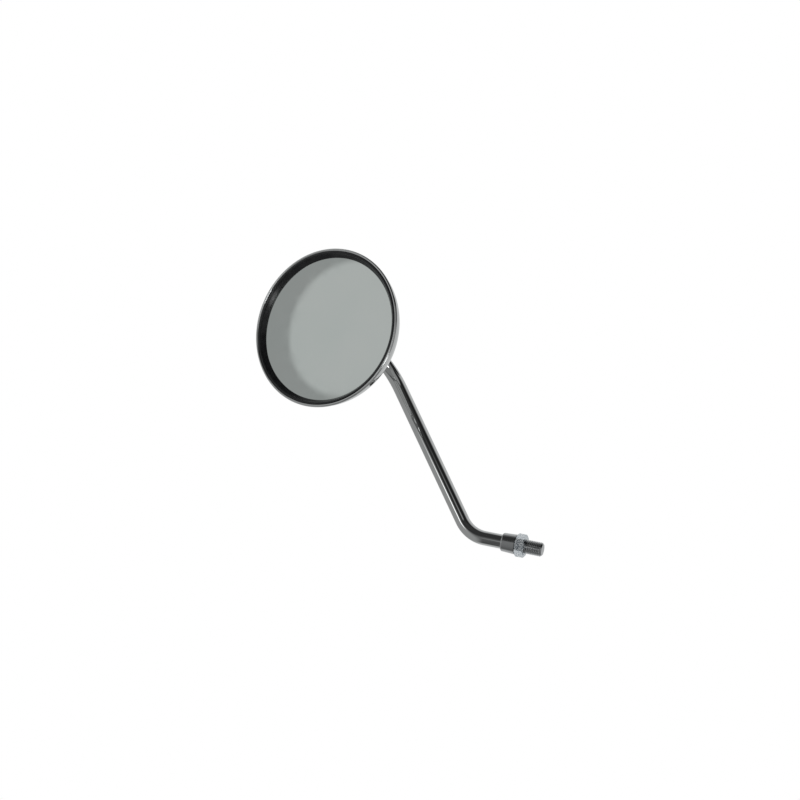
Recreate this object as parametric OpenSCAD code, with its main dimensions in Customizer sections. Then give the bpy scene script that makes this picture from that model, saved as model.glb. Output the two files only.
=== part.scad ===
// Round chrome motorcycle mirror for the right-hand side.
// The threaded stud points straight down and the origin is on its axis, at the lock nut's
// lower face, where the mirror meets its perch. The stem leans to +X and the glass faces -Y.

/* [Stem] */
// Diameter of the stem's round bar
bar_d = 10; // [9:0.5:12]
// Major diameter of the stud's M10 thread
thread_d = 9.75; // [9.7:0.01:9.97]
// Diameter that the two threads share inside the lock nut
pitch_d = 9.2; // [9:0.05:9.3]
// Length of thread that shows below the lock nut
stud_length = 12; // [8:0.5:30]
// Chamfer at the stud's tip
stud_chamfer = 1; // [0.5:0.1:2]
// Straight bar between the collar and the lower bend
rise_length = 13; // [5:0.5:40]
// Angle of the lower bend
lower_bend = 52; // [20:1:80]
// Centreline radius of the lower bend
lower_bend_r = 23.5; // [15:0.5:40]
// Straight bar between the two bends
arm_length = 107; // [80:1:180]
// Angle of the upper bend
upper_bend = 86; // [60:1:95]
// Centreline radius of the upper bend
upper_bend_r = 32.5; // [25:0.5:45]
// Turn of the upper bend about the arm, away from the plane of the lower one
bend_twist = 97; // [80:1:110]
// Straight bar between the upper bend and the neck's shoulder
tail_length = 15.5; // [12:0.5:30]
// How much thinner the bar is where it was bent
bend_thinning = 0.04; // [0.02:0.01:0.1]
// How far the full bar runs on into each end of a bend
bend_lap = 0.5; // [0.2:0.1:0.5]

/* [Collar and lock nut] */
// Height of the collar
collar_h = 9.9; // [6:0.1:16]
// Diameter of the collar at the lock nut
collar_d = 13.8; // [12.5:0.1:18]
// Diameter of the collar just below its rounded top
collar_top_d = 12.9; // [12:0.1:18]
// Radius of the collar's rounded top edge
collar_edge_r = 0.9; // [0.4:0.1:1.2]
// Width of the lock nut across its flats
nut_af = 14; // [13:1:19]
// Height of the lock nut
nut_h = 7; // [5:0.5:10]
// Turn of the lock nut, which brings one flat to the front
nut_turn = 0; // [0:1:60]

/* [Ball joint] */
// Diameter of the ball
ball_d = 18; // [16:0.5:18]
// Diameter of the neck below the ball
neck_d = 7; // [6:0.5:8]
// Distance from the neck's shoulder to the ball's centre
neck_length = 19; // [18:0.5:24]
// Wall of the nylon cups
cup_wall = 1.4; // [1:0.1:2]
// Radius of the neck hole in the shell
neck_hole_r = 7.6; // [7.4:0.1:8.5]
// Wall of the rubber boot
boot_wall = 1.5; // [1:0.1:2]
// How far round the ball housing the boot reaches, from the neck's axis
boot_reach = 47.5; // [44:0.5:48]

/* [Head] */
// Width of the rim and gasket, from the glass that shows to the head's outer edge
rim_border = 5.5; // [5:0.1:6.5]
// Sheet thickness of the shell
sheet = 1; // [0.8:0.1:1.4]
// Outer radius of the round between the shell's side and its back
bowl_r = 27; // [24:0.5:28]
// How far the rolled rim stands out past the shell's side
rim_overhang = 0.4; // [0.2:0.1:0.8]
// Diameter of the rolled rim's bead
rim_bead_d = 1.9; // [1.6:0.1:2.4]
// How far the gasket's outer edge lies behind the centre of the bowl's round
rim_drop = 1.7; // [1:0.1:3]
// How far the ball's centre lies in front of the shell's flat back
ball_inset = 4; // [3.8:0.1:4.5]
// Diameter of the drain hole in the shell's side
drain_d = 4.5; // [3:0.5:6]
// Direction of the drain hole round the head
drain_turn = 14.5; // [-180:0.5:180]
// Direction of the drain hole down the bowl's round, from the rim towards the back
drain_dip = 14; // [10:1:60]

/* [Mirror glass and gasket] */
// Width of chrome rim that shows outside the gasket
rim_show = 1.8; // [1.2:0.1:2.4]
// Diameter of the glass that shows inside the gasket
sight_d = 99; // [90:1:120]
// How far the glass edge lies behind the gasket's outer edge
glass_recess = 3.7; // [2.5:0.1:4]
// Thickness of the glass
glass_t = 2.2; // [1.8:0.1:3]
// Radius of the glass's curve
glass_curve_r = 1200; // [800:50:2000]
// How far the gasket's lip grips over the glass edge
lip_grip = 1.7; // [1:0.1:2]
// Thickness of the gasket's rear lip
rear_lip = 1.3; // [1:0.1:2]
// Radius of the gasket's rounded front bead
gasket_bead_r = 1; // [0.8:0.1:1.2]
// Slant at which the gasket's bead meets the rim
gasket_bead_slant = 35; // [20:1:45]

/* [Clamp] */
// Thickness of the clamp plate
clamp_t = 1.5; // [1:0.1:2]
// Diameter of the clamp plate
clamp_d = 46; // [44:1:52]
// Height of the clamp plate's flange in front of the ball's centre
clamp_z = 1.6; // [1.4:0.1:2]
// Number of clamp screws
screw_count = 3;
// Circle on which the clamp screws stand
screw_circle_d = 34; // [33:1:36]
// Thread diameter of the clamp screws
screw_d = 4; // [3:1:4]
// Head diameter of the clamp screws
screw_head_d = 8; // [6:0.5:8]
// Head height of the clamp screws
screw_head_h = 2.6; // [2:0.1:3]
// Thickness of the spring washers
washer_t = 0.9; // [0.6:0.1:1.2]
// Outer diameter of the spring washers
washer_d = 7.4; // [6:0.1:8]
// Width of the weld nuts across their flats
weld_nut_af = 7; // [6:0.5:8]
// Height of the weld nuts
weld_nut_h = 3.2; // [2.5:0.1:3.4]

/* [Fits] */
// Gap all round a fit that turns
running = 0.05; // [0.02:0.01:0.1]
// Gap all round a fit that stays put
snug = 0.02; // [0.01:0.01:0.05]
// Gap between the boot and what it seals against
boot_gap = 0.3; // [0.2:0.05:0.5]
// Gap between the lock nut and the faces above and below it
nut_gap = 0.1; // [0.05:0.05:0.3]

/* [Hidden] */
$fn = 72;
collar_z = nut_h + nut_gap;
bend_z = collar_z + collar_h + rise_length;
ball_r = ball_d / 2;
neck_r = neck_d / 2;
cup_in_r = ball_r + running;
cup_out_r = cup_in_r + cup_wall;
housing_in_r = cup_out_r + running;
housing_out_r = housing_in_r + sheet;
boot_in_r = housing_out_r + boot_gap;
boot_out_r = boot_in_r + boot_wall;
cup_split = 1;
head_r = sight_d / 2 + rim_border;
back_z = -ball_inset;
floor_z = back_z + sheet;
bowl_centre_r = head_r - rim_overhang - bowl_r;
bowl_centre_z = back_z + bowl_r;
front_z = bowl_centre_z - rim_drop;
rim_bead_r = rim_bead_d / 2;
rim_x = head_r - rim_bead_r;
gasket_r = head_r - rim_show;
rim_z = front_z - sqrt(pow(rim_bead_r, 2) - pow(gasket_r - rim_x, 2));
sight_r = sight_d / 2;
glass_r = sight_r + lip_grip;
glass_z = front_z - glass_recess;
glass_centre_z = glass_z - sqrt(pow(glass_curve_r, 2) - pow(sight_r, 2));
glass_back_z = glass_centre_z + glass_curve_r - glass_t;
washer_z = clamp_z + clamp_t;
screw_z = washer_z + washer_t;
far = 8 * head_r;

// Moves its children to the end of a bend that starts upwards at the origin and turns to +X
module after_bend(radius, angle) {
    translate([radius * (1 - cos(angle)), 0, radius * sin(angle)])
        rotate([0, angle, 0])
            children();
}

// A bend in the round bar, from the origin upwards and over to +X
module bar_bend(radius, angle) {
    translate([radius, 0, 0])
        rotate([90, 0, 180])
            rotate_extrude(angle = angle)
                translate([radius, 0])
                    circle(d = bar_d - bend_thinning);
}

// Moves its children to the foot of the arm, with +Z along it
module at_arm() {
    translate([0, 0, bend_z])
        after_bend(lower_bend_r, lower_bend)
            children();
}

// Moves its children to the foot of the upper bend
module at_upper_bend() {
    at_arm()
        translate([0, 0, arm_length])
            rotate([0, 0, -bend_twist])
                children();
}

// Moves its children to the ball's centre, with +Z out of the middle of the glass
module at_head() {
    at_upper_bend()
        after_bend(upper_bend_r, upper_bend)
            translate([0, 0, tail_length + neck_length])
                children();
}

// Half-plane of a profile above (side 1) or below (side -1) a height
module half_plane(z, side) {
    translate([0, side > 0 ? z : z - far])
        square([far, far]);
}

// Profile of a spherical wall about the ball's centre, right of the axis
module sphere_wall(inner_r, outer_r) {
    difference() {
        circle(r = outer_r);
        circle(r = inner_r);
        translate([-2 * outer_r, -outer_r])
            square([2 * outer_r, 2 * outer_r]);
    }
}

// A hexagon's solid across its flats, with both ends chamfered as on a turned nut
module hexagon_nut(across_flats, height, chamfer_r) {
    intersection() {
        cylinder(d = across_flats / cos(30), h = height, $fn = 6);
        rotate_extrude()
            polygon([
                [0, 0],
                [chamfer_r, 0],
                [chamfer_r + height / 2 / tan(30), height / 2],
                [chamfer_r, height],
                [0, height]
            ]);
    }
}

// Places its children on the circle of clamp screws, at one of their places
module at_screw(index) {
    at_head()
        rotate([0, 0, 360 / screw_count * (index - 1)])
            translate([screw_circle_d / 2, 0, 0])
                children();
}

module stem() {
    color("silver") {
        translate([0, 0, -stud_length])
            cylinder(d1 = thread_d - 2 * stud_chamfer, d2 = thread_d, h = stud_chamfer);
        translate([0, 0, stud_chamfer - stud_length])
            cylinder(d = thread_d, h = stud_length - stud_chamfer - nut_gap);
        translate([0, 0, -nut_gap])
            cylinder(d = pitch_d, h = nut_gap + collar_z);
        translate([0, 0, collar_z])
            cylinder(d = bar_d, h = collar_h + rise_length + bend_lap);
        translate([0, 0, bend_z])
            bar_bend(lower_bend_r, lower_bend);
        at_arm()
            translate([0, 0, -bend_lap])
                cylinder(d = bar_d, h = arm_length + 2 * bend_lap);
        at_upper_bend()
            bar_bend(upper_bend_r, upper_bend);
        at_head() {
            translate([0, 0, -tail_length - neck_length - bend_lap])
                cylinder(d = bar_d, h = tail_length + bend_lap);
            translate([0, 0, -neck_length])
                cylinder(d = neck_d, h = neck_length + sqrt(pow(ball_r, 2) - pow(neck_r, 2)));
        }
    }
}

module ball() {
    color("gray")
        at_head()
            difference() {
                sphere(d = ball_d);
                translate([0, 0, -ball_d])
                    cylinder(r = neck_r + snug, h = 2 * ball_d);
            }
}

module collar() {
    top_r = collar_top_d / 2;
    round_z = collar_h - collar_edge_r;
    color("gainsboro")
        translate([0, 0, collar_z])
            difference() {
                rotate_extrude() {
                    polygon([
                        [0, 0],
                        [collar_d / 2, 0],
                        [top_r, round_z],
                        [top_r - collar_edge_r, collar_h],
                        [0, collar_h]
                    ]);
                    translate([top_r - collar_edge_r, round_z])
                        circle(r = collar_edge_r);
                }
                translate([0, 0, -collar_h])
                    cylinder(r = bar_d / 2 + snug, h = 3 * collar_h);
            }
}

module lock_nut() {
    mouth = (thread_d - pitch_d) / 2 + 0.25;
    bore_r = pitch_d / 2 + running;
    color("lightsteelblue")
        rotate([0, 0, nut_turn])
            difference() {
                hexagon_nut(nut_af, nut_h, nut_af * 0.47);
                translate([0, 0, -nut_h])
                    cylinder(r = bore_r, h = 3 * nut_h);
                cylinder(r1 = bore_r + mouth, r2 = bore_r, h = mouth);
                translate([0, 0, nut_h - mouth])
                    cylinder(r1 = bore_r, r2 = bore_r + mouth, h = mouth);
            }
}

module neck_boot() {
    sleeve_r = neck_r + running + boot_wall;
    tail_z = boot_gap - neck_length;
    color("dimgray")
        at_head()
            rotate_extrude()
                difference() {
                    union() {
                        intersection() {
                            sphere_wall(boot_in_r, boot_out_r);
                            polygon([
                                [0, 0],
                                [far * sin(boot_reach), -far * cos(boot_reach)],
                                [0, -far]
                            ]);
                        }
                        translate([0, tail_z])
                            square([sleeve_r, -boot_in_r - tail_z]);
                    }
                    translate([0, -far])
                        square([neck_r + running, far]);
                }
}

module ball_cup_rear() {
    color("ivory")
        at_head()
            rotate_extrude()
                difference() {
                    sphere_wall(cup_in_r, cup_out_r);
                    half_plane(-cup_split, 1);
                    translate([0, -far])
                        square([neck_hole_r, far]);
                }
}

module ball_cup_front() {
    color("ivory")
        at_head()
            rotate_extrude()
                difference() {
                    sphere_wall(cup_in_r, cup_out_r);
                    half_plane(cup_split, -1);
                    square([neck_r + 1, far]);
                }
}

// Profile of the pressed sheet: flat back, round side and the ball's housing
module shell_profile() {
    difference() {
        union() {
            translate([0, back_z])
                square([bowl_centre_r, sheet]);
            intersection() {
                translate([bowl_centre_r, bowl_centre_z])
                    difference() {
                        circle(r = bowl_r);
                        circle(r = bowl_r - sheet);
                    }
                translate([bowl_centre_r, back_z])
                    square([bowl_r, rim_z - back_z]);
            }
            translate([rim_x, rim_z])
                circle(r = rim_bead_r);
            intersection() {
                circle(r = housing_out_r);
                translate([0, -housing_out_r])
                    square([housing_out_r, housing_out_r + floor_z]);
            }
        }
        circle(r = housing_in_r);
        translate([0, -far])
            square([neck_hole_r, far]);
    }
}

module shell() {
    color("whitesmoke")
        at_head()
            difference() {
                rotate_extrude($fn = 96)
                    shell_profile();
                rotate([0, 0, drain_turn])
                    translate([bowl_centre_r, 0, bowl_centre_z])
                        rotate([0, 90 + drain_dip, 0])
                            translate([0, 0, bowl_r - 3 * sheet])
                                cylinder(d = drain_d, h = 6 * sheet);
            }
}

// Profile of the gasket: a front bead against the rim, a slope to the glass and a rear lip
module gasket_profile() {
    bead_x = gasket_r - gasket_bead_r * cos(gasket_bead_slant);
    bead_z = front_z - gasket_bead_r * sin(gasket_bead_slant);
    rear_z = glass_z - glass_t - rear_lip;
    seat_r = bowl_centre_r + sqrt(pow(bowl_r - sheet, 2) - pow(bowl_centre_z - rear_z, 2));
    difference() {
        polygon([
            [seat_r - 0.2, rear_z],
            [rim_x - rim_bead_r + 0.2, rim_z - 1.5],
            [rim_x - rim_bead_r + 0.2, rim_z],
            for (turn = [20:15:200])
                [bead_x + gasket_bead_r * cos(turn), bead_z + gasket_bead_r * sin(turn)],
            [sight_r + 0.3, glass_z + 0.8],
            [sight_r, glass_z + 0.4],
            [sight_r, glass_z - glass_t],
            [sight_r - rear_lip, glass_z - glass_t - 0.4],
            [sight_r - rear_lip, rear_z]
        ]);
        translate([rim_x, rim_z])
            circle(r = rim_bead_r + snug);
        glass_profile(snug);
    }
}

// Profile of the glass, grown on every side by a gap
module glass_profile(gap) {
    intersection() {
        translate([0, glass_centre_z])
            difference() {
                circle(r = glass_curve_r + gap, $fn = 2400);
                circle(r = glass_curve_r - glass_t - gap, $fn = 2400);
            }
        translate([0, glass_back_z - 2 * glass_t])
            square([glass_r + gap, 4 * glass_t]);
    }
}

module rim_gasket() {
    color("#202124")
        at_head()
            rotate_extrude($fn = 96)
                gasket_profile();
}

module mirror_glass() {
    color("#a9b0ae")
        at_head()
            rotate_extrude($fn = 96)
                glass_profile(0);
}

module foam_pad() {
    pad_r = housing_in_r;
    color("slategray")
        at_head()
            difference() {
                translate([0, 0, clamp_z + clamp_t])
                    cylinder(r = pad_r, h = glass_back_z - clamp_z - clamp_t - 2 * snug);
                sphere(r = housing_in_r + clamp_t + snug);
            }
}

module clamp_plate() {
    color("silver")
        at_head()
            difference() {
                rotate_extrude()
                    difference() {
                        union() {
                            intersection() {
                                circle(r = housing_in_r + clamp_t);
                                half_plane(clamp_z, 1);
                            }
                            translate([0, clamp_z])
                                square([clamp_d / 2, clamp_t]);
                        }
                        circle(r = housing_in_r);
                        square([neck_r + 1, far]);
                    }
                for (i = [1:screw_count])
                    rotate([0, 0, 360 / screw_count * (i - 1)])
                        translate([screw_circle_d / 2, 0, 0])
                            cylinder(d = screw_d + 0.5, h = far);
            }
}

module clamp_screw(index) {
    shank = screw_z - floor_z - 0.5;
    color("darkgray")
        at_screw(index)
            translate([0, 0, screw_z])
                difference() {
                    union() {
                        rotate_extrude() {
                            square([screw_head_d / 2, screw_head_h * 0.55]);
                            intersection() {
                                translate([0, screw_head_h - screw_head_d])
                                    circle(r = screw_head_d);
                                square([screw_head_d / 2 - 0.4, screw_head_h]);
                            }
                        }
                        translate([0, 0, -shank])
                            cylinder(d = screw_d, h = shank);
                    }
                    for (turn = [0, 90])
                        rotate([0, 0, turn])
                            translate([-screw_d * 0.6, -0.4, screw_head_h * 0.45])
                                cube([screw_d * 1.2, 0.8, screw_head_h]);
                }
}

module lock_washer(index) {
    color("gray")
        at_screw(index)
            translate([0, 0, washer_z])
                difference() {
                    cylinder(d = washer_d, h = washer_t);
                    translate([0, 0, -washer_t])
                        cylinder(d = screw_d + 0.3, h = 3 * washer_t);
                    translate([0, -0.4, -washer_t])
                        cube([washer_d, 0.8, 3 * washer_t]);
                }
}

module weld_nut(index) {
    color("darkgray")
        at_screw(index)
            translate([0, 0, floor_z])
                difference() {
                    hexagon_nut(weld_nut_af, weld_nut_h, weld_nut_af * 0.47);
                    translate([0, 0, -weld_nut_h])
                        cylinder(r = screw_d / 2 + snug, h = 3 * weld_nut_h);
                }
}

stem();
ball();
collar();
lock_nut();
neck_boot();
ball_cup_rear();
ball_cup_front();
shell();
rim_gasket();
mirror_glass();
foam_pad();
clamp_plate();
for (i = [1:screw_count]) {
    clamp_screw(i);
    lock_washer(i);
    weld_nut(i);
}
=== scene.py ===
import math

import bmesh
import bpy
from mathutils import Matrix, Vector


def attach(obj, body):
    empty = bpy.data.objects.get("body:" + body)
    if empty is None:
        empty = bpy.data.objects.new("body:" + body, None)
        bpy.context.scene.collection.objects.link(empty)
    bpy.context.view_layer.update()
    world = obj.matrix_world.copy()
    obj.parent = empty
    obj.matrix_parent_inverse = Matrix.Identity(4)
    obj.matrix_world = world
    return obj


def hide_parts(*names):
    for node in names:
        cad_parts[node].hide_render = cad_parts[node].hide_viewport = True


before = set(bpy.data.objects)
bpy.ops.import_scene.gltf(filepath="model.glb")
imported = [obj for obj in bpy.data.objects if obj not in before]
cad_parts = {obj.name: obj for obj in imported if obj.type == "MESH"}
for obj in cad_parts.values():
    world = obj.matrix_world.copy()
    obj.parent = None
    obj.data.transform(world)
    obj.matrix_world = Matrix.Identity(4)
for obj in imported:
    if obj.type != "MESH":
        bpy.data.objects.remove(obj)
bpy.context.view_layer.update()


# The stem is one round steel bar, bent twice and then chrome plated. Its foot stands in
# the collar and its top is turned down to a neck for the ball.
mm = 0.001
bar_r = 5 * mm
bar_sides = 72
collar_foot = 7.1 * mm
rise_end = 30 * mm
lower_bend_r, lower_bend = 23.5 * mm, math.radians(52)
arm_length = 107 * mm
bend_twist = math.radians(-97)
upper_bend_r, upper_bend = 32.5 * mm, math.radians(86)
tail_length, neck_length = 15.5 * mm, 19 * mm
neck_r, neck_tip, neck_chamfer, shoulder = 3.5 * mm, 8.2 * mm, 0.5 * mm, 0.6 * mm
tolerance = 0.001 * mm


def edit_new(name, add, **size):
    """Adds a primitive with nothing else selected, names it and opens it for editing."""
    bpy.ops.object.select_all(action="DESELECT")
    add(**size)
    piece = bpy.context.object
    piece.name = piece.data.name = name
    bpy.ops.object.mode_set(mode="EDIT")
    bpy.ops.mesh.select_mode(type="VERT")
    return piece


def carry(step):
    """Extrudes the selected ring by a step along the scene's axes."""
    bpy.ops.mesh.extrude_region_move(TRANSFORM_OT_translate={"value": step})


def select_where(piece, test):
    """Selects the vertices that pass the test, and nothing else."""
    cage = bmesh.from_edit_mesh(piece.data)
    bpy.ops.mesh.select_all(action="DESELECT")
    for v in cage.verts:
        v.select = test(v.co)
    cage.select_flush(True)
    bmesh.update_edit_mesh(piece.data)


def close_piece(piece, place=Matrix.Identity(4), angle=30):
    """Merges doubles, turns the normals out, shades smooth and puts the place in the mesh."""
    bpy.ops.mesh.select_all(action="SELECT")
    bpy.ops.mesh.remove_doubles(threshold=2 * tolerance)
    bpy.ops.mesh.normals_make_consistent(inside=False)
    bpy.ops.object.mode_set(mode="OBJECT")
    bpy.ops.object.shade_smooth_by_angle(angle=math.radians(angle))
    piece.data.transform(place @ piece.matrix_world)
    piece.matrix_world = Matrix.Identity(4)
    piece.select_set(False)


def bend_place(radius, angle):
    """Where a bend ends that starts upwards at the origin and turns to +X."""
    end = Vector((radius * (1 - math.cos(angle)), 0, radius * math.sin(angle)))
    return Matrix.Translation(end) @ Matrix.Rotation(angle, 4, "Y")


def spin_ring(start, radius, angle, steps):
    """Spins the selected ring round a bend's centre."""
    centre = start @ Vector((radius, 0, 0))
    axis = start.to_3x3() @ Vector((0, -1, 0))
    bpy.ops.mesh.spin(steps=steps, angle=angle, center=centre, axis=axis)


stem = edit_new(
    "stem_bar", bpy.ops.mesh.primitive_circle_add,
    vertices=bar_sides, radius=bar_r, location=(0, 0, collar_foot),
)
carry((0, 0, rise_end - collar_foot))
way = Matrix.Translation((0, 0, rise_end))
spin_ring(way, lower_bend_r, lower_bend, 26)
way = way @ bend_place(lower_bend_r, lower_bend)
carry(way.to_3x3() @ Vector((0, 0, arm_length)))
way = way @ Matrix.Translation((0, 0, arm_length)) @ Matrix.Rotation(bend_twist, 4, "Z")
spin_ring(way, upper_bend_r, upper_bend, 42)
way = way @ bend_place(upper_bend_r, upper_bend)
out = way.to_3x3() @ Vector((0, 0, 1))
head_place = way @ Matrix.Translation((0, 0, tail_length + neck_length))
carry(out * (tail_length - shoulder))
for run, ratio in (
    (shoulder, 1 - shoulder / bar_r),
    (0, neck_r / (bar_r - shoulder)),
    (neck_length + neck_tip - neck_chamfer, 1),
    (neck_chamfer, 1 - neck_chamfer / neck_r),
):
    carry(out * run)
    ring = [v.co.copy() for v in bmesh.from_edit_mesh(stem.data).verts if v.select]
    middle = sum(ring, Vector()) / len(ring)
    bpy.ops.transform.resize(value=(ratio,) * 3, center_override=stem.matrix_world @ middle)
bpy.ops.mesh.edge_face_add()
select_where(stem, lambda co: abs(co.z) < tolerance)
bpy.ops.mesh.edge_face_add()
close_piece(stem)
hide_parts("stem")
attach(stem, "stem")


# The plating is bright chrome over polished steel. It has the faintest ripple of the
# polished bar under it, hairlines from wiping and a little haze from handling.


def node_group(name, ins, outs):
    """Starts a shader node group with its named number or vector sockets."""
    tree = bpy.data.node_groups.new(name, "ShaderNodeTree")
    for direction, sockets in (("INPUT", ins), ("OUTPUT", outs)):
        for label, start in sockets.items():
            kind = "NodeSocketVector" if start is None else "NodeSocketFloat"
            socket = tree.interface.new_socket(label, in_out=direction, socket_type=kind)
            if start is not None:
                socket.default_value = start
    return tree, tree.nodes.new("NodeGroupInput"), tree.nodes.new("NodeGroupOutput")


def add_node(tree, kind, values=None, **settings):
    """Adds a node, makes its settings and links or fills its inputs."""
    node = tree.nodes.new("ShaderNode" + kind)
    for key, value in settings.items():
        setattr(node, key, value)
    for key, value in (values or {}).items():
        if isinstance(value, bpy.types.NodeSocket):
            tree.links.new(value, node.inputs[key])
        else:
            node.inputs[key].default_value = value
    return node


def make_cloudy():
    """Soft patches between two limits: haze, bloom, colour drift, speckle and painted glints."""
    tree, start, end = node_group(
        "cloudy",
        {
            "Position": None, "Size mm": 4.0, "Detail": 2.0, "Sharpness": 0.3,
            "Low": 0.0, "High": 1.0,
        },
        {"Mask": 0.0},
    )
    per_metre = add_node(tree, "Math", {0: 1000.0, 1: start.outputs["Size mm"]}, operation="DIVIDE")
    noise = add_node(tree, "TexNoise", {
        "Vector": start.outputs["Position"], "Scale": per_metre.outputs[0],
        "Detail": start.outputs["Detail"],
    })
    sharpness = start.outputs["Sharpness"]
    middle, softest, gain = 0.5, 0.26, 0.25
    narrow = add_node(tree, "Math", {0: gain, 1: sharpness}, operation="MULTIPLY")
    width = add_node(tree, "Math", {0: softest, 1: narrow.outputs[0]}, operation="SUBTRACT")
    low_edge = add_node(tree, "Math", {0: middle, 1: width.outputs[0]}, operation="SUBTRACT")
    high_edge = add_node(tree, "Math", {0: middle, 1: width.outputs[0]}, operation="ADD")
    mask = add_node(tree, "MapRange", {
        "Value": noise.outputs["Fac"], "From Min": low_edge.outputs[0],
        "From Max": high_edge.outputs[0], "To Min": start.outputs["Low"],
        "To Max": start.outputs["High"],
    }, interpolation_type="SMOOTHSTEP")
    tree.links.new(mask.outputs[0], end.inputs["Mask"])
    return tree


def make_hairlines():
    """Fine scratches that run round Z of the given position, as wiping leaves them."""
    tree, start, end = node_group(
        "hairlines",
        {"Position": None, "Width mm": 0.15, "Length mm": 12.0, "Amount": 0.2},
        {"Height": 0.0},
    )
    across = add_node(tree, "Math", {0: 1000.0, 1: start.outputs["Width mm"]}, operation="DIVIDE")
    along = add_node(tree, "Math", {0: 1000.0, 1: start.outputs["Length mm"]}, operation="DIVIDE")
    stretch = add_node(tree, "CombineXYZ", {
        "X": along.outputs[0], "Y": along.outputs[0], "Z": across.outputs[0],
    })
    place = add_node(tree, "VectorMath", {
        0: start.outputs["Position"], 1: stretch.outputs[0],
    }, operation="MULTIPLY")
    noise = add_node(tree, "TexNoise", {"Vector": place.outputs[0], "Scale": 1.0, "Detail": 1.0})
    faint, full = 0.56, 0.72
    line = add_node(tree, "MapRange", {
        "Value": noise.outputs["Fac"], "From Min": faint, "From Max": full,
        "To Min": 0.0, "To Max": start.outputs["Amount"],
    })
    tree.links.new(line.outputs[0], end.inputs["Height"])
    return tree


cloudy, hairlines = make_cloudy(), make_hairlines()


def new_material(name, colour, **sockets):
    """Starts a material with constants on the shader's own sockets. Also gives its position."""
    material = bpy.data.materials.new(name)
    material.use_nodes = True
    tree = material.node_tree
    shader = tree.nodes["Principled BSDF"]
    shader.inputs["Base Color"].default_value = (*colour, 1)
    for label, value in sockets.items():
        shader.inputs[label.replace("_", " ")].default_value = value
    position = add_node(tree, "TexCoord").outputs["Object"]
    return material, tree, shader, position


def use_group(tree, group, position, **values):
    """Places a group in a material with its own values and returns its only output."""
    node = tree.nodes.new("ShaderNodeGroup")
    node.node_tree = group
    tree.links.new(position, node.inputs["Position"])
    for label, value in values.items():
        node.inputs[label.replace("_", " ")].default_value = value
    return node.outputs[0]


def drift_colour(tree, shader, mask, first, second):
    """Colours a surface between two colours after a mask."""
    mix = add_node(tree, "Mix", {0: mask, 6: (*first, 1), 7: (*second, 1)}, data_type="RGBA")
    tree.links.new(mix.outputs[2], shader.inputs["Base Color"])
    return mix.outputs[2]


def add_bump(tree, shader, height, distance, strength=1.0):
    """Feeds a height in metres times distance into the shader's normal."""
    values = {"Height": height, "Distance": distance, "Strength": strength}
    if shader.inputs["Normal"].is_linked:
        values["Normal"] = shader.inputs["Normal"].links[0].from_socket
    bump = add_node(tree, "Bump", values)
    tree.links.new(bump.outputs["Normal"], shader.inputs["Normal"])


def chrome_material(name, colour, second, rough_low, rough_high, ripple):
    """Chrome plate with a drifting tint, haze, the polish's ripple and wiped hairlines."""
    material, tree, shader, position = new_material(name, colour, Metallic=1.0)
    tint = use_group(tree, cloudy, position, Size_mm=18, Detail=2)
    drift_colour(tree, shader, tint, colour, second)
    haze = use_group(tree, cloudy, position, Size_mm=7, Detail=4, Low=rough_low, High=rough_high)
    tree.links.new(haze, shader.inputs["Roughness"])
    polish = use_group(tree, cloudy, position, Size_mm=5, Detail=1)
    add_bump(tree, shader, polish, ripple)
    wiped = use_group(tree, hairlines, position, Width_mm=0.12, Length_mm=9, Amount=0.25)
    add_bump(tree, shader, wiped, 0.0003 * mm)
    return material, tree, shader, position


def dress(piece, *materials):
    """Gives a piece its materials in place of those it came with."""
    piece.data.materials.clear()
    for material in materials:
        piece.data.materials.append(material)


chrome = chrome_material(
    "bright_chrome", (0.55, 0.557, 0.555), (0.575, 0.58, 0.577), 0.012, 0.035, 0.001 * mm
)[0]
dress(stem, chrome)


# The stud is turned on the foot of the bar: an M10 thread with a pitch of 1.25 mm and a
# chamfered tip. Inside the nut only the pitch diameter counts.
stud_foot, thread_end, stud_top = -12 * mm, -0.1 * mm, 7.1 * mm
thread_r, thread_root_r, nut_zone_r = 4.875 * mm, 4.15 * mm, 4.6 * mm
pitch, rings_per_pitch, tip_chamfer = 1.25 * mm, 16, 1 * mm
crest_flat, flank_slope = 0.22 * mm, math.tan(math.radians(60))


def thread_radius(z, turn):
    """Radius of the thread's 60 degree flanks at a height and at a share of one turn."""
    phase = (z / pitch - turn) % 1
    off_crest = min(phase, 1 - phase) * pitch
    flank = thread_r - max(0, off_crest - crest_flat) * flank_slope
    return min(max(flank, thread_root_r), thread_r - max(0, stud_foot + tip_chamfer - z))


stud = edit_new(
    "stud_thread", bpy.ops.mesh.primitive_circle_add,
    vertices=bar_sides, radius=thread_root_r, location=(0, 0, stud_foot),
)
bpy.ops.mesh.edge_face_add()
ring_count = round((thread_end - stud_foot) / pitch * rings_per_pitch)
for _ in range(ring_count):
    carry((0, 0, (thread_end - stud_foot) / ring_count))
nut_step = nut_zone_r / thread_root_r
bpy.ops.transform.resize(value=(nut_step, nut_step, 1), center_override=(0, 0, thread_end))
carry((0, 0, stud_top - thread_end))
cage = bmesh.from_edit_mesh(stud.data)
for v in cage.verts:
    height = v.co.z + stud_foot
    if height < thread_end - 10 * tolerance:
        turn = math.atan2(v.co.y, v.co.x) / math.tau
        radius = thread_radius(height, turn)
        v.co.xy = v.co.xy.normalized() * radius
bmesh.update_edit_mesh(stud.data)
close_piece(stud, angle=25)
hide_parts("stem")
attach(stud, "stem")

# The thread's rougher chrome is its own, but its darker colour is painted shade for its grooves and
# flanks.
shaded_thread_chrome = chrome_material(
    "shaded_thread_chrome", (0.4, 0.405, 0.41), (0.48, 0.485, 0.49), 0.05, 0.09, 0.002 * mm
)[0]
dress(stud, shaded_thread_chrome)


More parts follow.
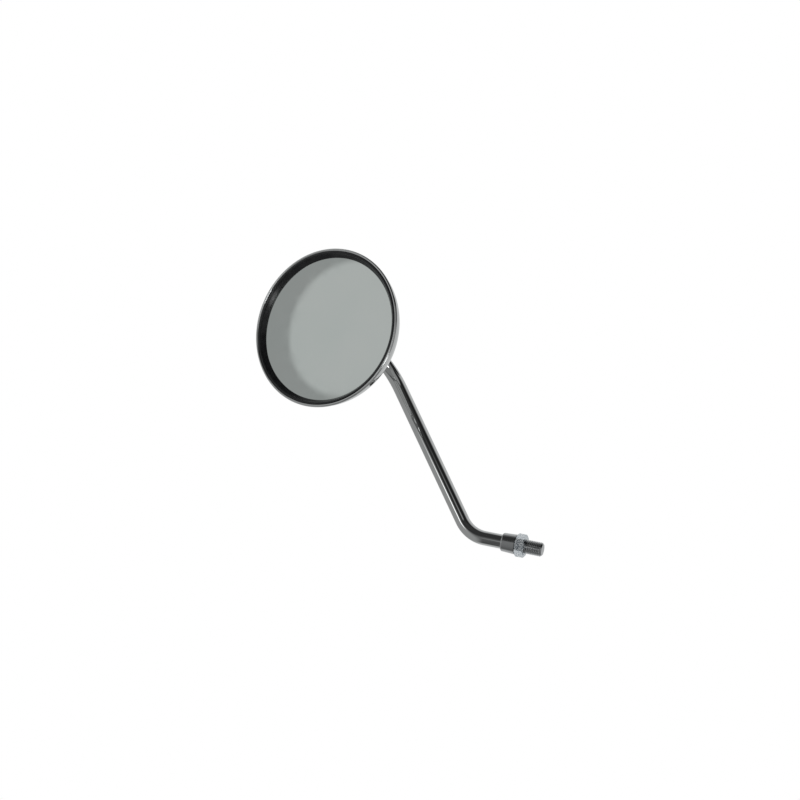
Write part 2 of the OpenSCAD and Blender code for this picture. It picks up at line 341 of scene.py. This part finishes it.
# The collar is turned from steel with a rounded top edge and a darker chrome than the
# bar's. It is pressed on the bar, down to where the lock nut meets it.
collar_chrome, tree, shader, position = chrome_material(
    "collar_chrome", (0.46, 0.465, 0.47), (0.5, 0.505, 0.51), 0.03, 0.06, 0.001 * mm
)
turned = use_group(tree, hairlines, position, Width_mm=0.1, Length_mm=60, Amount=0.6)
add_bump(tree, shader, turned, 0.002 * mm)
dress(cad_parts["collar"], collar_chrome)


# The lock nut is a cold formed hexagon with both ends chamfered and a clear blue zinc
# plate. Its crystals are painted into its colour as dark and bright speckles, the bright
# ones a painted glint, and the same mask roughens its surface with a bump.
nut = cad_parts["lock_nut"]
zinc, tree, shader, position = new_material("blue_zinc", (0.55, 0.6, 0.66), Metallic=1.0)
crystals_and_glints = use_group(tree, cloudy, position, Size_mm=0.9, Detail=3, Sharpness=0.5)
# painted glints: the bright speckles in the zinc's colour stand in for crystals catching light
drift_colour(tree, shader, crystals_and_glints, (0.36, 0.41, 0.46), (0.86, 0.88, 0.89))
dulled = use_group(tree, cloudy, position, Size_mm=0.9, Detail=3, Low=0.1, High=0.2)
tree.links.new(dulled, shader.inputs["Roughness"])
add_bump(tree, shader, crystals_and_glints, 0.012 * mm)
dress(nut, zinc)


# The ball is a ground steel ball, bored and pressed on the neck. Two nylon cups hold it,
# the rear one in the housing and the front one under the clamp plate.
ground_steel, tree, shader, position = new_material("ground_steel", (0.5, 0.5, 0.5), Metallic=1.0)
stain = use_group(tree, cloudy, position, Size_mm=3, Detail=4)
drift_colour(tree, shader, stain, (0.46, 0.455, 0.45), (0.56, 0.56, 0.56))
worn = use_group(tree, cloudy, position, Size_mm=1.5, Detail=3, Low=0.12, High=0.28)
tree.links.new(worn, shader.inputs["Roughness"])
add_bump(tree, shader, use_group(tree, hairlines, position), 0.001 * mm)
for name in ("ball", "weld_nut_1", "weld_nut_2", "weld_nut_3"):
    dress(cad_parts[name], ground_steel)

nylon, tree, shader, position = new_material(
    "natural_nylon", (0.78, 0.76, 0.68), Subsurface_Weight=0.15, Subsurface_Scale=0.001
)
yellowed = use_group(tree, cloudy, position, Size_mm=6, Detail=3)
drift_colour(tree, shader, yellowed, (0.78, 0.755, 0.66), (0.82, 0.8, 0.73))
satin = use_group(tree, cloudy, position, Size_mm=0.8, Detail=3, Low=0.38, High=0.5)
tree.links.new(satin, shader.inputs["Roughness"])
add_bump(tree, shader, satin, 0.02 * mm)
for name in ("ball_cup_rear", "ball_cup_front"):
    dress(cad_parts[name], nylon)


# The boot is moulded rubber. Its skirt seals on the outside of the ball's housing with a
# rounded lip, and its sleeve runs down the neck to a thicker bead at the shoulder.
boot_in_r, boot_wall, boot_reach = 11.8 * mm, 1.5 * mm, math.radians(47.5)
sleeve_in_r, sleeve_r, sleeve_end = 3.55 * mm, 5.05 * mm, -18.7 * mm
waist, waist_top, waist_foot, sleeve_bead_r = 0.25 * mm, -14.6 * mm, -16.4 * mm, 0.9 * mm


def lathe(name, profile, sides, closed=False):
    """Draws a round piece as on a lathe: the first ring is added, and each next one is
    extruded from it, moved along the axis and scaled to its radius. A closed profile ends
    on its first ring, and an open one gets a face at both ends."""
    first = profile[0]
    piece = edit_new(
        name, bpy.ops.mesh.primitive_circle_add,
        vertices=sides, radius=first[0], location=(0, 0, 0),
    )
    bpy.ops.transform.translate(value=(0, 0, first[1]))
    radius, height = first
    for next_radius, next_height in profile[1:]:
        carry((0, 0, next_height - height))
        ratio = next_radius / radius
        bpy.ops.transform.resize(value=(ratio, ratio, 1), center_override=(0, 0, next_height))
        radius, height = next_radius, next_height
    if not closed:
        bpy.ops.mesh.edge_face_add()
        bpy.ops.mesh.select_all(action="DESELECT")
    cage = bmesh.from_edit_mesh(piece.data)
    for v in cage.verts:
        v.select = v.select or v.index < sides
    cage.select_flush(True)
    bmesh.update_edit_mesh(piece.data)
    if closed:
        bpy.ops.mesh.bridge_edge_loops()
    else:
        bpy.ops.mesh.edge_face_add()
    return piece


def arc(centre, radius, first, last, steps):
    """Points of a round on a profile, from one angle to another, in degrees."""
    turns = [math.radians(first + (last - first) * i / steps) for i in range(steps + 1)]
    return [(centre[0] + radius * math.cos(t), centre[1] + radius * math.sin(t)) for t in turns]


middle_r = boot_in_r + boot_wall / 2
lip_turn = math.degrees(boot_reach - boot_wall / 2 / middle_r) - 90
lip = (middle_r * math.cos(math.radians(lip_turn)), middle_r * math.sin(math.radians(lip_turn)))
joint_turn = -math.degrees(math.acos(sleeve_r / (boot_in_r + boot_wall)))
inner_turn = -math.degrees(math.acos(sleeve_in_r / boot_in_r))
bead_middle = (sleeve_r - 0.1 * mm, sleeve_end + sleeve_bead_r)
boot = lathe("rubber_boot", [
    *arc((0, 0), boot_in_r, inner_turn, lip_turn - 3, 14),
    *arc(lip, boot_wall / 2, lip_turn + 180, lip_turn, 6),
    *arc((0, 0), boot_in_r + boot_wall, lip_turn - 3, joint_turn + 5, 14),
    (sleeve_r + waist, waist_top + 1.5 * mm),
    (sleeve_r, waist_top + 0.7 * mm),
    (sleeve_r - waist, waist_top),
    (sleeve_r - waist, waist_foot),
    *arc(bead_middle, sleeve_bead_r, 60, -60, 6),
    (sleeve_in_r, sleeve_end + 0.1 * mm),
], 72, closed=True)
close_piece(boot, head_place, 40)
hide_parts("neck_boot")
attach(boot, "neck_boot")

rubber, tree, shader, position = new_material("black_rubber", (0.006, 0.0063, 0.007))
shader.inputs["Specular IOR Level"].default_value = 0.4
bloom = use_group(tree, cloudy, position, Size_mm=5, Detail=4)
drift_colour(tree, shader, bloom, (0.004, 0.0042, 0.005), (0.008, 0.0083, 0.0092))
matt = use_group(tree, cloudy, position, Size_mm=0.6, Detail=3, Low=0.2, High=0.3)
tree.links.new(matt, shader.inputs["Roughness"])
add_bump(tree, shader, matt, 0.006 * mm)
dress(boot, rubber)


# The shell is one deep drawn steel bowl with a rolled rim, a drain hole low in its side
# and the ball's housing pressed out of its back. It is chromed inside and out.
head_r, sheet, back_z = 55 * mm, 1 * mm, -4 * mm
bowl_r, rim_bead_r = 27 * mm, 0.95 * mm
rim_overhang, rim_drop, rim_show = 0.4 * mm, 1.7 * mm, 1.8 * mm
bowl_floor_z = back_z + sheet
bowl = (head_r - rim_overhang - bowl_r, back_z + bowl_r)
front_z, gasket_r = bowl[1] - rim_drop, head_r - rim_show
bead_reach = gasket_r - (head_r - rim_bead_r)
rim_bead = (head_r - rim_bead_r, front_z - math.sqrt(rim_bead_r**2 - bead_reach**2))
housing_in_r, neck_hole_r = 10.5 * mm, 7.6 * mm
drain_r, drain_turn, drain_dip = 2.25 * mm, math.radians(14.5), math.radians(14)
housing_r = housing_in_r + sheet
rim_reach = math.dist(bowl, rim_bead)
rim_lean = math.degrees(math.atan2(rim_bead[1] - bowl[1], rim_bead[0] - bowl[0]))


def meeting(radius):
    """Turns round the bowl's centre and round the bead where a skin of the bowl meets it."""
    on_bowl = (rim_reach**2 + radius**2 - rim_bead_r**2) / (2 * rim_reach * radius)
    on_bead = (rim_reach**2 + rim_bead_r**2 - radius**2) / (2 * rim_reach * rim_bead_r)
    return (
        rim_lean - math.degrees(math.acos(on_bowl)),
        rim_lean + 180 + math.degrees(math.acos(on_bead)),
    )


inner_end, bead_start = meeting(bowl_r - sheet)
outer_end, bead_end = meeting(bowl_r)
shell = lathe("shell_bowl", [
    *arc((0, 0), housing_in_r, -math.degrees(math.acos(neck_hole_r / housing_in_r)),
         -math.degrees(math.asin(-bowl_floor_z / housing_in_r)), 8),
    *arc(bowl, bowl_r - sheet, -90, inner_end, 24),
    *arc(rim_bead, rim_bead_r, bead_start, bead_end - 360, 44)[1:],
    *arc(bowl, bowl_r, outer_end, -90, 44)[1:],
    *arc((0, 0), housing_r, -math.degrees(math.asin(-back_z / housing_r)),
         -math.degrees(math.acos(neck_hole_r / housing_r)), 12),
], 216, closed=True)
bpy.ops.mesh.select_all(action="SELECT")
bpy.ops.mesh.normals_make_consistent(inside=False)
bpy.ops.object.mode_set(mode="OBJECT")
out_r = bowl[0] + bowl_r * math.cos(drain_dip)
bpy.ops.object.select_all(action="DESELECT")
bpy.ops.mesh.primitive_cylinder_add(
    vertices=48, radius=drain_r, depth=4 * sheet,
    location=(
        out_r * math.cos(drain_turn), out_r * math.sin(drain_turn),
        bowl[1] - bowl_r * math.sin(drain_dip),
    ),
    rotation=(0, math.pi / 2 + drain_dip, drain_turn),
)
drill = bpy.context.object
bpy.context.view_layer.objects.active = shell
bpy.ops.object.modifier_add(type="BOOLEAN")
shell.modifiers[-1].operation = "DIFFERENCE"
shell.modifiers[-1].object = drill
bpy.ops.object.modifier_apply(modifier=shell.modifiers[-1].name)
bpy.data.objects.remove(drill)
bpy.ops.object.mode_set(mode="EDIT")
close_piece(shell, head_place, 32)
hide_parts("shell")
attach(shell, "head")
dress(shell, chrome)


# The clamp is a domed steel plate that three screws with spring washers draw against the
# front cup. They turn in nuts that are projection welded to the shell's floor.
yellow_zinc, tree, shader, position = new_material("yellow_zinc", (0.6, 0.52, 0.34), Metallic=1.0)
rainbow = use_group(tree, cloudy, position, Size_mm=4, Detail=3)
drift_colour(tree, shader, rainbow, (0.62, 0.5, 0.3), (0.58, 0.57, 0.44))
smear = use_group(tree, cloudy, position, Size_mm=1.2, Detail=3, Low=0.22, High=0.38)
tree.links.new(smear, shader.inputs["Roughness"])
add_bump(tree, shader, smear, 0.01 * mm)
dress(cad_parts["clamp_plate"], yellow_zinc)

spring_steel, tree, shader, position = new_material(
    "blued_spring_steel", (0.1, 0.1, 0.12), Metallic=1.0
)
blued = use_group(tree, cloudy, position, Size_mm=1.5, Detail=3)
drift_colour(tree, shader, blued, (0.07, 0.075, 0.1), (0.14, 0.13, 0.12))
edge_rough = use_group(tree, cloudy, position, Size_mm=0.5, Detail=3, Low=0.3, High=0.45)
tree.links.new(edge_rough, shader.inputs["Roughness"])
for i in (1, 2, 3):
    dress(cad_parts[f"clamp_screw_{i}"], zinc)
    dress(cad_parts[f"lock_washer_{i}"], spring_steel)


# The foam pad is cut from closed cell foam and keeps the glass from rattling. It sits on
# the clamp's dome, and its side bulges a little under the pressure.
dome_r, pad_r, pad_foot, pad_top = 12.05 * mm, 10.35 * mm, 6.15 * mm, 16.36 * mm
bulge, bulge_foot, bulge_height, bulge_steps = 0.12 * mm, 6.9 * mm, 8.64 * mm, 8
dome = [(r * mm, math.sqrt(dome_r**2 - (r * mm) ** 2)) for r in (0.5, 2, 4, 6, 8, 9.3)]
foam = lathe("foam_pad_soft", [
    *dome,
    (pad_r - 0.3 * mm, pad_foot),
    (pad_r - 0.05 * mm, pad_foot + 0.3 * mm),
    *[
        (
            pad_r + bulge * math.sin(math.pi * i / bulge_steps),
            bulge_foot + bulge_height * i / bulge_steps,
        )
        for i in range(bulge_steps + 1)
    ],
    (pad_r - 0.2 * mm, pad_top - 0.1 * mm),
    (pad_r - 0.6 * mm, pad_top - 0.02 * mm),
    (5 * mm, pad_top),
    (0.5 * mm, pad_top),
], 64)
close_piece(foam, head_place, 50)
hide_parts("foam_pad")
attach(foam, "head")

foam_grey, tree, shader, position = new_material(
    "closed_cell_foam", (0.16, 0.17, 0.18), Roughness=0.9
)
cells = use_group(tree, cloudy, position, Size_mm=0.5, Detail=3, Sharpness=0.7)
drift_colour(tree, shader, cells, (0.12, 0.125, 0.135), (0.2, 0.21, 0.22))
add_bump(tree, shader, cells, 0.15 * mm)
dress(foam, foam_grey)


# The glass is a convex disc, silvered and painted on its back, with its edge ground all
# round. It is what the rider looks at.
glass_curve_r, glass_recess, glass_t = 1200 * mm, 3.7 * mm, 2.2 * mm
rim_border, lip_grip, ground = 5.5 * mm, 1.7 * mm, 0.4 * mm
glass_edge_z, sight_r = front_z - glass_recess, head_r - rim_border
glass_r = sight_r + lip_grip
curve_z = glass_edge_z - math.sqrt(glass_curve_r**2 - sight_r**2)
pole_r, face_rings, flat_normal = 0.4 * mm, 26, 0.9


def face_z(r, behind=0.0):
    """Height of the glass's face, or of its back, at a radius."""
    return curve_z + math.sqrt((glass_curve_r - behind) ** 2 - r**2)


rim_r = glass_r - ground
radii = [pole_r + (rim_r - pole_r) * i / face_rings for i in range(face_rings + 1)]
glass = lathe("mirror_disc", [
    *[(r, face_z(r)) for r in radii],
    (glass_r, face_z(rim_r) - ground),
    (glass_r, face_z(rim_r, glass_t) + ground),
    *[(r, face_z(r, glass_t)) for r in reversed(radii[::2])],
], 144)
close_piece(glass, angle=20)

silvered, tree, shader, position = new_material("silvered_glass", (0.8, 0.83, 0.82), Metallic=1.0)
tone = use_group(tree, cloudy, position, Size_mm=40, Detail=2)
drift_colour(tree, shader, tone, (0.79, 0.84, 0.815), (0.815, 0.855, 0.83))
smudge = use_group(
    tree, cloudy, position, Size_mm=9, Detail=5, Sharpness=0.6, Low=0.012, High=0.05
)
tree.links.new(smudge, shader.inputs["Roughness"])

ground_glass, tree, shader, position = new_material("ground_glass", (0.62, 0.7, 0.67))
shader.inputs["Coat Weight"].default_value = 0.4
chips = use_group(tree, cloudy, position, Size_mm=0.4, Detail=4, Sharpness=0.7)
drift_colour(tree, shader, chips, (0.5, 0.6, 0.57), (0.72, 0.78, 0.76))
frost = use_group(tree, cloudy, position, Size_mm=0.3, Detail=4, Low=0.4, High=0.65)
tree.links.new(frost, shader.inputs["Roughness"])
add_bump(tree, shader, chips, 0.02 * mm)

back_paint, tree, shader, position = new_material("backing_paint", (0.1, 0.11, 0.12), Roughness=0.5)
coat = use_group(tree, cloudy, position, Size_mm=8, Detail=4)
drift_colour(tree, shader, coat, (0.09, 0.1, 0.11), (0.12, 0.13, 0.14))
peel = use_group(tree, cloudy, position, Size_mm=1.5, Detail=2)
add_bump(tree, shader, peel, 0.03 * mm)

dress(glass, silvered, ground_glass, back_paint)
for face in glass.data.polygons:
    face.material_index = 0 if face.normal.z > flat_normal else 2 if face.normal.z < -flat_normal else 1
glass.data.transform(head_place)
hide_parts("mirror_glass")
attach(glass, "head")


# The gasket is one moulded ring of black rubber. A groove in it holds the edge of the
# glass, and its round front bead presses against the rolled rim.
rim_fit_r = rim_bead_r + 0.03 * mm
front_bead, front_bead_r = (52.38 * mm, 20.73 * mm), 0.99 * mm
groove_gap = 0.02 * mm
gasket = lathe("rim_gasket_soft", [
    (51.85 * mm, 14.12 * mm),
    (52.95 * mm, 17.6 * mm),
    (53.2 * mm, 19.4 * mm),
    *arc(rim_bead, rim_fit_r, 212, 156, 5),
    *arc(front_bead, front_bead_r, 36, 204, 14),
    (50.9 * mm, 19.75 * mm),
    (50.35 * mm, 19.08 * mm),
    (49.86 * mm, 18.5 * mm),
    *arc((49.78 * mm, 18.0 * mm), 0.28 * mm, 150, 200, 4),
    (49.6 * mm, face_z(49.6 * mm) + groove_gap),
    (glass_r + groove_gap, face_z(glass_r) + groove_gap),
    (glass_r + groove_gap, face_z(glass_r, glass_t) - groove_gap),
    (49.4 * mm, face_z(49.4 * mm, glass_t) - groove_gap),
    (48.6 * mm, 15.1 * mm),
    (48.22 * mm, 14.8 * mm),
    (48.22 * mm, 14.3 * mm),
    (48.45 * mm, 14.12 * mm),
], 160, closed=True)
close_piece(gasket, head_place, 35)
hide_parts("rim_gasket")
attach(gasket, "head")
dress(gasket, rubber)


# The studio: a pale floor well below the mirror, even soft light, and grey panels round
# the room that polished metal and the mirror show.
studio = bpy.context.scene
floor_z, floor_size = -0.9, 7.0
bpy.ops.mesh.primitive_plane_add(size=floor_size, location=(0, 0, floor_z))
floor = bpy.context.object
floor.name = "studio_floor"
floor.visible_glossy = False
floor_paint, tree, shader, position = new_material("floor_paint", (0.85, 0.85, 0.85), Roughness=0.8)
scuffs = use_group(tree, cloudy, position, Size_mm=400, Detail=2)
drift_colour(tree, shader, scuffs, (0.84, 0.84, 0.84), (0.86, 0.86, 0.86))
dress(floor, floor_paint)

world = bpy.data.worlds.new("studio")
studio.world = world
world.use_nodes = True
tree = world.node_tree
tree.nodes.clear()
toward = add_node(tree, "TexCoord").outputs["Generated"]
room = add_node(tree, "RGB").outputs[0]
room.default_value = (0.69, 0.7, 0.7, 1)
red_share = 0.985


def panel(under, azimuth, elevation, half_angle, softness, grey):
    """Paints a round panel over what the room shows in a direction, all in degrees."""
    flat = math.cos(math.radians(elevation))
    axis = Vector((
        flat * math.cos(math.radians(azimuth)),
        flat * math.sin(math.radians(azimuth)),
        math.sin(math.radians(elevation)),
    ))
    facing = add_node(tree, "VectorMath", {0: toward, 1: axis}, operation="DOT_PRODUCT")
    cover = add_node(tree, "MapRange", {
        "Value": facing.outputs["Value"],
        "From Min": math.cos(math.radians(half_angle + softness)),
        "From Max": math.cos(math.radians(max(half_angle - softness, 0))),
    }, interpolation_type="SMOOTHSTEP")
    colour = (red_share * grey, grey, grey, 1)
    mix = add_node(tree, "Mix", {0: cover.outputs[0], 6: under, 7: colour}, data_type="RGBA")
    return mix.outputs[2]


# Places, sizes and greys were rounded from a fit of the room to the photo's reflections,
# so what each panel stands for is a guess. First the dark half of the room on the
# camera's side, and its grey ceiling.
room = panel(room, -90, 5, 98, 16, 0.02)
room = panel(room, -90, 87, 68, 9, 0.42)
# a small lamp high behind the camera, and a wide umbrella just above it
room = panel(room, -97, 30, 3, 4, 2.3)
room = panel(room, -100, -8, 10, 17, 1.9)
# a black card on the right
room = panel(room, -43, 10, 32, 8, 0.05)
# the shade below and behind, and a wide grey side on the lower left
room = panel(room, 75, -63, 40, 1, 0.03)
room = panel(room, -160, -46, 62, 1, 0.28)
# the low lamp that glints on the rim
room = panel(room, -122, -51, 7.5, 2.5, 4.5)
# pale boards low behind the mirror and high on the camera's side
room = panel(room, 78, -33, 28, 1, 0.66)
room = panel(room, -63, 50, 28, 1, 0.6)
# grey paper in front of the mirror, and a lamp almost straight below it
room = panel(room, -78, -30, 24, 2, 0.36)
room = panel(room, 163, -71, 6, 7, 2)
# the board that the glass shows, with the lighter round in its middle
room = panel(room, -81.1, 37.5, 13.5, 2, 0.31)
room = panel(room, -81.1, 37.5, 6.6, 0.4, 0.48)
backdrop = add_node(tree, "Background", {"Color": (1, 1, 1, 1), "Strength": 1.0})
surroundings = add_node(tree, "Background", {"Color": room, "Strength": 1.0})
rays = add_node(tree, "LightPath")
pick = add_node(tree, "MixShader", {
    0: rays.outputs["Is Glossy Ray"], 1: backdrop.outputs[0], 2: surroundings.outputs[0],
})
output = tree.nodes.new("ShaderNodeOutputWorld")
tree.links.new(pick.outputs[0], output.inputs["Surface"])

camera_data = bpy.data.cameras.new("photo_camera")
camera = bpy.data.objects.new("photo_camera", camera_data)
studio.collection.objects.link(camera)
# The photo shows the mirror lying on its side, with its stud to the right, so the camera
# is rolled. It looks at the aim from its azimuth and elevation, in degrees.
camera_azimuth, camera_elevation, camera_roll = -96.94, -20.78, -80.41
camera_aim, camera_distance = Vector((80.3, -42.6, 96.9)) * mm, 984.1 * mm
camera.matrix_world = (
    Matrix.Translation(camera_aim)
    @ Matrix.Rotation(math.radians(camera_azimuth + 90), 4, "Z")
    @ Matrix.Rotation(math.radians(90 - camera_elevation), 4, "X")
    @ Matrix.Rotation(math.radians(camera_roll), 4, "Z")
    @ Matrix.Translation((0, 0, camera_distance))
)
camera_data.lens, camera_data.sensor_width = 64.2, 36
camera_data.clip_start, camera_data.clip_end = 0.01, 30
studio.camera = camera
studio.view_settings.view_transform = "Standard"
